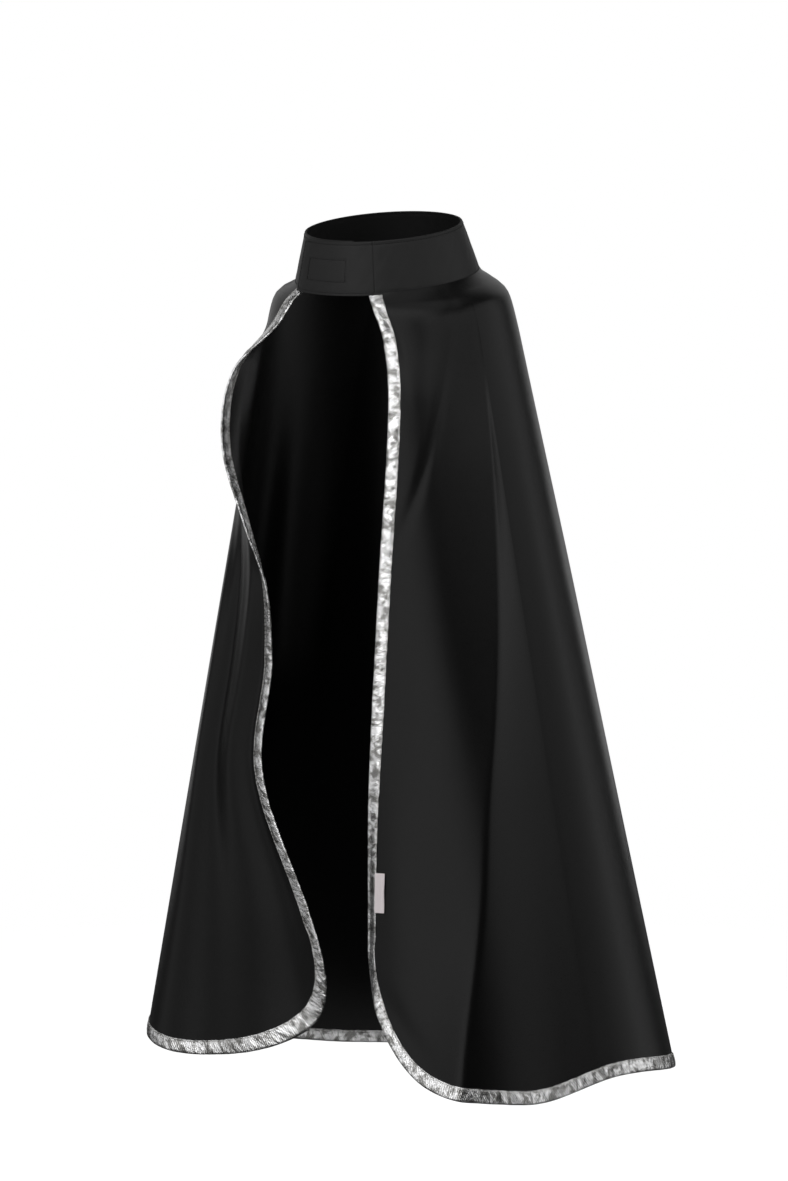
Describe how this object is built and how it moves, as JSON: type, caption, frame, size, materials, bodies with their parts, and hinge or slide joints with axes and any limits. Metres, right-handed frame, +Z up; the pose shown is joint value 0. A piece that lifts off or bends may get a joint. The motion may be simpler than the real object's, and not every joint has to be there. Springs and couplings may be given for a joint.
{
  "type": "superhero cape",
  "caption": "Child's superhero cape: flared black cloth with rounded lower corners, silver bound edges and a stand collar closed by a hook-and-loop flap.",
  "frame": {"origin": "middle of the neck opening, level with the seam between the collar and the cloth", "axes": "+Z up along the wearer's neck, -Y towards the wearer's front, +X towards the wearer's left"},
  "size_m": [0.4429, 0.342, 0.6959],
  "materials": {
    "cape_cloth": "matte crepe weave with a faint satin sheen",
    "silver_binding": "metallic lame bias tape, puckered along its stitching",
    "collar_stiffener": "stiff non-woven interlining",
    "hook_tape": "nylon hooks",
    "loop_tape": "brushed nylon loops",
    "label_ribbon": "woven satin ribbon, blank",
    "care_satin": "white satin care label, blank",
    "thread": "black polyester thread"
  },
  "bodies": {
    "cape": {"cape_yoke": "cape_cloth", "cape_back": "cape_cloth", "binding_left_top": "silver_binding", "binding_right_top": "silver_binding", "binding_back_hem": "silver_binding", "collar_outer": "cape_cloth", "collar_stiffener": "collar_stiffener", "collar_inner": "cape_cloth", "loop_patch": "loop_tape", "care_label": "care_satin", "collar_topstitch": "thread"},
    "flap": {"flap_outer": "cape_cloth", "flap_stiffener": "collar_stiffener", "flap_inner": "cape_cloth", "hook_patch": "hook_tape", "flap_topstitch": "thread"},
    "left_front": {"cape_left_front": "cape_cloth", "binding_left_front": "silver_binding"},
    "right_front": {"cape_right_front": "cape_cloth", "binding_right_front": "silver_binding"},
    "label": {"side_label": "label_ribbon"}
  },
  "joints": [
    {"name": "flap_open", "type": "hinge", "parent": "cape", "child": "flap", "pos_m": [0.03483, -0.06502, -0.00798], "axis": [-0.1245, 0.1149, 0.9856], "range_deg": [0, 120]},
    {"name": "left_front_open", "type": "hinge", "parent": "cape", "child": "left_front", "pos_m": [0.11808, -0.01808, -0.10254], "axis": [-0.2032, 0.0102, 0.9791], "range_deg": [0, 35]},
    {"name": "right_front_open", "type": "hinge", "parent": "cape", "child": "right_front", "pos_m": [-0.1071, -0.01615, -0.10249], "axis": [-0.169, -0.004, -0.9856], "range_deg": [0, 35]},
    {"name": "label_flip", "type": "hinge", "parent": "left_front", "child": "label", "pos_m": [0.08305, -0.11349, -0.44201], "axis": [0.0787, -0.0991, -0.992], "range_deg": [0, 120]}
  ]
}
